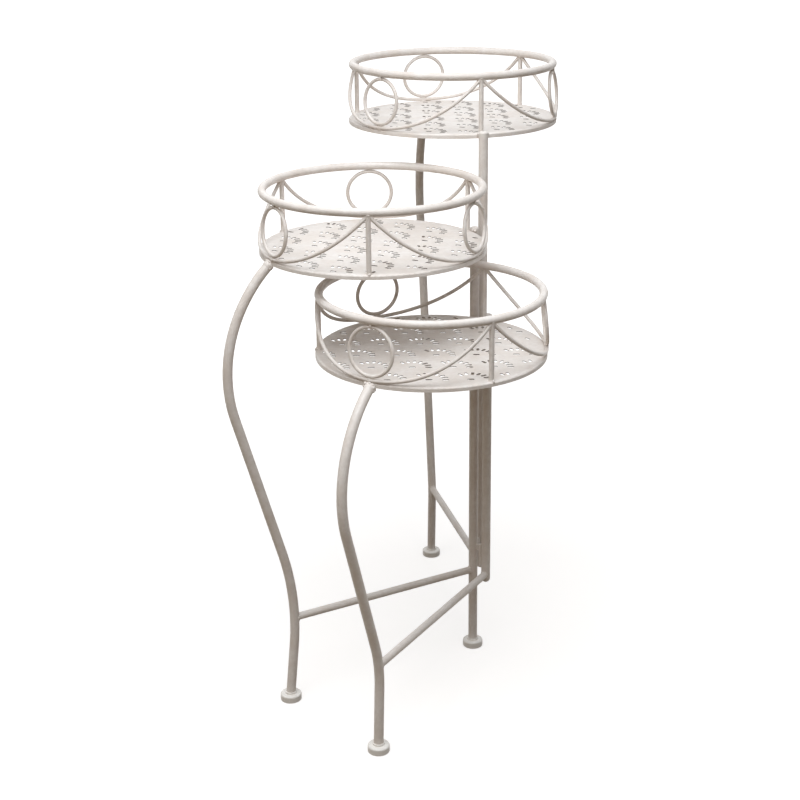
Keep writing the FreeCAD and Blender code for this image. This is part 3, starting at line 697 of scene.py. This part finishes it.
class STAND_OT_hinge_welds(bpy.types.Operator):
    """Weld the hinges' webs to the posts"""
    bl_idname = "stand.hinge_welds"
    bl_label = "Weld the hinges"

    def execute(self, context):
        """Lay a bead down each side of each web where it meets its post."""
        sizes = context.scene.stand_sizes
        centre = Unit("mid").post
        for seed, tier in enumerate(TIERS[1:], start=SEEDS["hinge"]):
            unit = Unit(tier)
            ray = (unit.post - centre).normalized()
            side = Vector((-ray.y, ray.x, 0))
            for body, kind, start in (("mid_unit", "fixed", centre),
                                      (unit.body, "swing", unit.post)):
                beads = BeadMesh(seed + (kind == "swing") * SWING_SEED)
                facing = 1 if kind == "fixed" else -1
                for level in ("lower", "upper"):
                    low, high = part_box(f"{tier}_{level}_hinge_{kind}_knuckle")
                    top = high[2] - WEB_END
                    bottom = high[2] - WEB_DEPTH if kind == "fixed" else low[2] + WEB_END
                    for sideways in WEB_SIDES:
                        foot = start + ray * (facing * WEB_FOOT) + side * sideways
                        line = [foot + Vector((0, 0, bottom + (top - bottom) * i / WEB_STEPS))
                                for i in range(WEB_STEPS + 1)]
                        beads.bead(line, sizes.bead * 0.5)
                beads.finish(f"{tier}_hinge_{kind}_welds", body)
        return {"FINISHED"}


class STAND_OT_stage(bpy.types.Operator):
    """Set up the camera, the floor and the lights"""
    bl_idname = "stand.stage"
    bl_label = "Set the stage"

    def execute(self, context):
        """Make the camera, the floor, the lamps and the sky."""
        stage = context.scene.stand_stage
        context.scene.view_settings.view_transform = "Standard"
        set_camera(context.scene, stage)
        lay_floor(stage)
        add_lamp("overhead_lamp", OVERHEAD_PLACE, OVERHEAD_WIDTH, stage.overhead, COOL)
        add_lamp("side_lamp", SIDE_PLACE, SIDE_WIDTH, stage.side, WARM)
        light_sky(context.scene, stage)
        return {"FINISHED"}


def set_camera(scene, stage):
    """Stand the camera where the photograph was taken from."""
    camera = bpy.data.cameras.new("camera")
    camera.sensor_width = SENSOR_WIDTH
    camera.lens = stage.lens
    camera.shift_x, camera.shift_y = CAMERA_SHIFT
    camera.clip_end = SIGHT
    obj = bpy.data.objects.new("camera", camera)
    obj.matrix_world = (Matrix.Translation(stage.camera_place)
                        @ Matrix.Rotation(math.pi / 2 - CAMERA_PITCH, 4, "X")
                        @ Matrix.Rotation(CAMERA_ROLL, 4, "Z"))
    scene.collection.objects.link(obj)
    scene.camera = obj


def seen_directly(tree):
    """1 where a ray comes from the camera, a reflection or a clear piece."""
    path = tree.nodes.new("ShaderNodeLightPath")
    total = path.outputs["Is Camera Ray"]
    for name in ("Is Glossy Ray", "Is Transmission Ray"):
        add = tree.nodes.new("ShaderNodeMath")
        add.operation = "ADD"
        add.use_clamp = True
        tree.links.new(total, add.inputs[0])
        tree.links.new(path.outputs[name], add.inputs[1])
        total = add.outputs[0]
    return total


def lay_floor(stage):
    """A round white floor that throws little light back on the stand."""
    mesh = bpy.data.meshes.new("floor")
    bm = bmesh.new()
    bmesh.ops.create_circle(bm, cap_ends=True, segments=FLOOR_SIDES, radius=FLOOR_RADIUS)
    bm.to_mesh(mesh)
    bm.free()
    floor = bpy.data.objects.new("floor", mesh)
    floor.location = (0, 0, -FLOOR_DROP)
    bpy.context.scene.collection.objects.link(floor)
    material = bpy.data.materials.new("floor_white")
    material.use_nodes = True
    tree = material.node_tree
    tree.nodes.clear()
    output = tree.nodes.new("ShaderNodeOutputMaterial")
    thrown = tree.nodes.new("ShaderNodeBsdfDiffuse")
    thrown.inputs["Color"].default_value = (*stage.floor, 1)
    shown = tree.nodes.new("ShaderNodeBsdfDiffuse")
    shown.inputs["Color"].default_value = (*FLOOR_SHOWN, 1)
    glow = tree.nodes.new("ShaderNodeEmission")
    away = tree.nodes.new("ShaderNodeVectorMath")
    away.operation = "LENGTH"
    tree.links.new(object_place(tree), away.inputs[0])
    tree.links.new(ramp(tree, away.outputs["Value"], *GLOW_REACH, *GLOW),
                   glow.inputs["Strength"])
    both = tree.nodes.new("ShaderNodeAddShader")
    tree.links.new(shown.outputs[0], both.inputs[0])
    tree.links.new(glow.outputs[0], both.inputs[1])
    mix = tree.nodes.new("ShaderNodeMixShader")
    tree.links.new(seen_directly(tree), mix.inputs[0])
    tree.links.new(thrown.outputs[0], mix.inputs[1])
    tree.links.new(both.outputs[0], mix.inputs[2])
    tree.links.new(mix.outputs[0], output.inputs["Surface"])
    mesh.materials.append(material)


def add_lamp(name, place, width, power, colour):
    """A square soft lamp that faces the stand."""
    lamp = bpy.data.lights.new(name, "AREA")
    lamp.size = width
    lamp.color = colour
    lamp.energy = power
    obj = bpy.data.objects.new(name, lamp)
    obj.location = place
    aim = LAMP_FOCUS - Vector(place)
    obj.rotation_mode = "QUATERNION"
    obj.rotation_quaternion = aim.to_track_quat("-Z", "Y")
    bpy.context.scene.collection.objects.link(obj)


def light_sky(scene, stage):
    """Cool light from above, dim and warm near the horizon, seen as white."""
    world = bpy.data.worlds.new("sky")
    scene.world = world
    world.use_nodes = True
    tree = world.node_tree
    tree.nodes.clear()
    output = tree.nodes.new("ShaderNodeOutputWorld")
    light = tree.nodes.new("ShaderNodeBackground")
    direction = tree.nodes.new("ShaderNodeSeparateXYZ")
    place = tree.nodes.new("ShaderNodeTexCoord").outputs["Generated"]
    tree.links.new(place, direction.inputs[0])
    height = direction.outputs["Z"]
    tree.links.new(ramp(tree, height, *SKY_FADE, stage.horizon, stage.sky),
                   light.inputs["Strength"])
    warmth = ramp(tree, height, *WARMTH_FADE, 1, 0)
    tree.links.new(mix_colours(tree, warmth, COOL, WARM), light.inputs["Color"])
    white = tree.nodes.new("ShaderNodeBackground")
    white.inputs["Color"].default_value = (1, 1, 1, 1)
    mix = tree.nodes.new("ShaderNodeMixShader")
    tree.links.new(seen_directly(tree), mix.inputs[0])
    tree.links.new(light.outputs[0], mix.inputs[1])
    tree.links.new(white.outputs[0], mix.inputs[2])
    tree.links.new(mix.outputs[0], output.inputs["Surface"])


class STAND_PT_panel(bpy.types.Panel):
    """The stand's settings and steps"""
    bl_idname = "STAND_PT_panel"
    bl_label = "Plant Stand"
    bl_space_type = "VIEW_3D"
    bl_region_type = "UI"
    bl_category = "Plant Stand"

    def draw(self, context):
        """List the settings, then one button for each step."""
        for group in (context.scene.stand_paint, context.scene.stand_sizes,
                      context.scene.stand_stage):
            box = self.layout.box()
            for name in group.__annotations__:
                box.prop(group, name)
        for step in STEPS:
            self.layout.operator(step.bl_idname)


STEPS = (STAND_OT_stage, STAND_OT_paint, STAND_OT_feet, STAND_OT_leg_welds,
         STAND_OT_brace_welds, STAND_OT_baluster_welds, STAND_OT_ring_welds,
         STAND_OT_post_welds, STAND_OT_hinge_welds)
GROUPS = {"stand_paint": StandPaint, "stand_sizes": StandSizes, "stand_stage": StandStage}


def register():
    """Add the settings, the steps and the panel to Blender."""
    for cls in (*GROUPS.values(), *STEPS, STAND_PT_panel):
        bpy.utils.register_class(cls)
    for name, group in GROUPS.items():
        setattr(bpy.types.Scene, name, bpy.props.PointerProperty(type=group))


def unregister():
    """Take them away again."""
    for name in GROUPS:
        delattr(bpy.types.Scene, name)
    for cls in reversed((*GROUPS.values(), *STEPS, STAND_PT_panel)):
        bpy.utils.unregister_class(cls)


def main():
    """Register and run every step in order."""
    register()
    for step in STEPS:
        group, name = step.bl_idname.split(".")
        getattr(getattr(bpy.ops, group), name)()
    bpy.context.view_layer.update()


if __name__ == "__main__":
    main()
